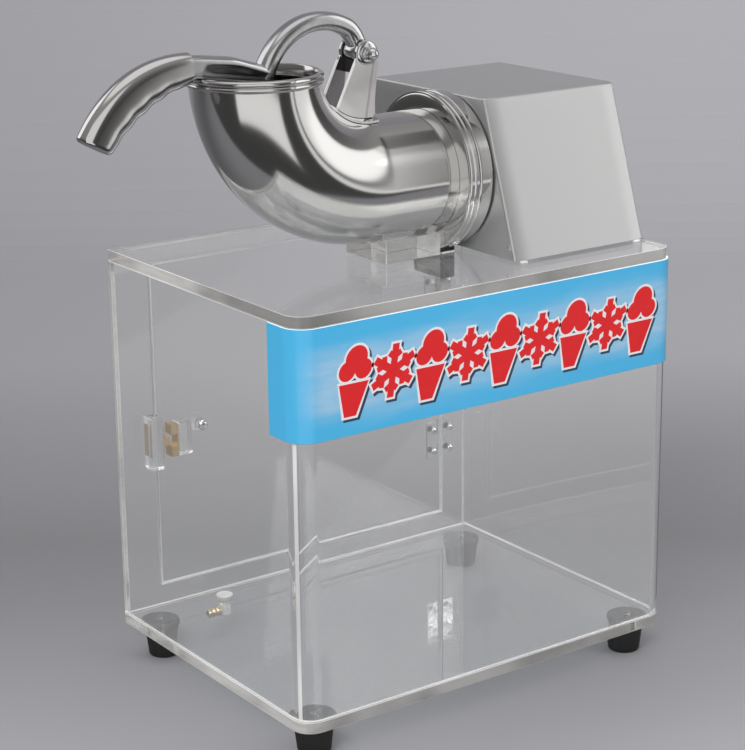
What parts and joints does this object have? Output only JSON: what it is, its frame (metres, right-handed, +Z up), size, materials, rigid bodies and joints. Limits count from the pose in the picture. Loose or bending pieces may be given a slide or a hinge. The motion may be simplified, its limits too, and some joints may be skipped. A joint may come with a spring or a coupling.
{
  "type": "snow cone machine",
  "caption": "Countertop shaved ice machine: lever pressed elbow hopper and motor driven blade drum over a clear acrylic cabinet with a hinged rear door",
  "frame": {"origin": "centre of the base plate's underside, above the feet", "axes": "+Z up, +X to the right along the sign as the customer sees it, +Y towards the cabinet's back and its door"},
  "size_m": [0.5109, 0.3234, 0.5999],
  "materials": {
    "acrylic": "clear polished",
    "sign": "printed, semi gloss",
    "foot_rubber": "matte",
    "black_rubber": "matte",
    "nylon": "satin",
    "brass": "dull",
    "bright_steel": "bright",
    "polished_steel": "mirror polished",
    "satin_steel": "satin",
    "cover_steel": "fine brushed",
    "lever_metal": "polished casting",
    "cast_aluminium": "cast",
    "black_plastic": "satin"
  },
  "bodies": {
    "machine": {"base_plate": "acrylic", "top_plate": "acrylic", "wrap_panel": "acrylic", "back_panel": "acrylic", "sign_band": "sign", "foot_front_left": "foot_rubber", "foot_front_right": "foot_rubber", "foot_rear_left": "foot_rubber", "foot_rear_right": "foot_rubber", "drain_cup": "nylon", "drain_barb": "brass", "hinge_leaf_case_lower": "bright_steel", "hinge_leaf_case_upper": "bright_steel", "hinge_pin_lower": "bright_steel", "hinge_pin_upper": "bright_steel", "latch_block_case": "acrylic", "latch_strike": "brass", "hopper_elbow": "polished_steel", "hopper_rim": "polished_steel", "hopper_cradle": "acrylic", "drum_housing": "polished_steel", "band_clamp": "polished_steel", "ice_chute": "black_plastic", "motor_stator": "cast_aluminium", "motor_front_bell": "cast_aluminium", "motor_rear_bell": "cast_aluminium", "bearing_front": "satin_steel", "bearing_rear": "satin_steel", "motor_mount": "satin_steel", "cover_shell": "cover_steel", "cover_back": "cover_steel", "cover_bumper_left": "acrylic", "cover_bumper_right": "acrylic", "switch_housing": "black_plastic", "power_inlet": "black_plastic", "lever_bracket": "polished_steel", "pivot_bolt": "bright_steel", "pivot_nut": "bright_steel", "pivot_washer": "bright_steel", "spacer_block": "black_rubber"},
    "lever": {"lever_arm": "lever_metal", "lever_grip": "lever_metal", "pusher_plate": "lever_metal", "pusher_screw": "bright_steel"},
    "door": {"door_panel": "acrylic", "hinge_leaf_door_lower": "bright_steel", "hinge_leaf_door_upper": "bright_steel", "door_knob": "acrylic", "door_knob_screw": "bright_steel", "latch_block_door": "acrylic", "latch_catch": "brass"},
    "cutter": {"motor_shaft": "bright_steel", "motor_rotor": "satin_steel", "cooling_fan": "black_plastic", "cutter_disc": "satin_steel", "blade_1": "bright_steel", "blade_2": "bright_steel", "blade_3": "bright_steel", "hub_nut": "bright_steel"},
    "rocker": {"switch_rocker": "black_plastic"}
  },
  "joints": [
    {"name": "lever_hinge", "type": "hinge", "parent": "machine", "child": "lever", "pos_m": [-0.046, -0.0205, 0.5355], "axis": [0, 1, 0], "range_deg": [0, 95]},
    {"name": "door_hinge", "type": "hinge", "parent": "machine", "child": "door", "pos_m": [0.1655, 0.1533, 0.031], "axis": [0, 0, -1], "range_deg": [0, 120]},
    {"name": "cutter_spin", "type": "hinge", "parent": "machine", "child": "cutter", "pos_m": [0.0196, -0.0205, 0.4262], "axis": [1, 0, 0], "continuous": true},
    {"name": "rocker_tilt", "type": "hinge", "parent": "machine", "child": "rocker", "pos_m": [0.164, 0.0873, 0.4336], "axis": [-1, 0, 0], "range_deg": [0, 14]}
  ]
}
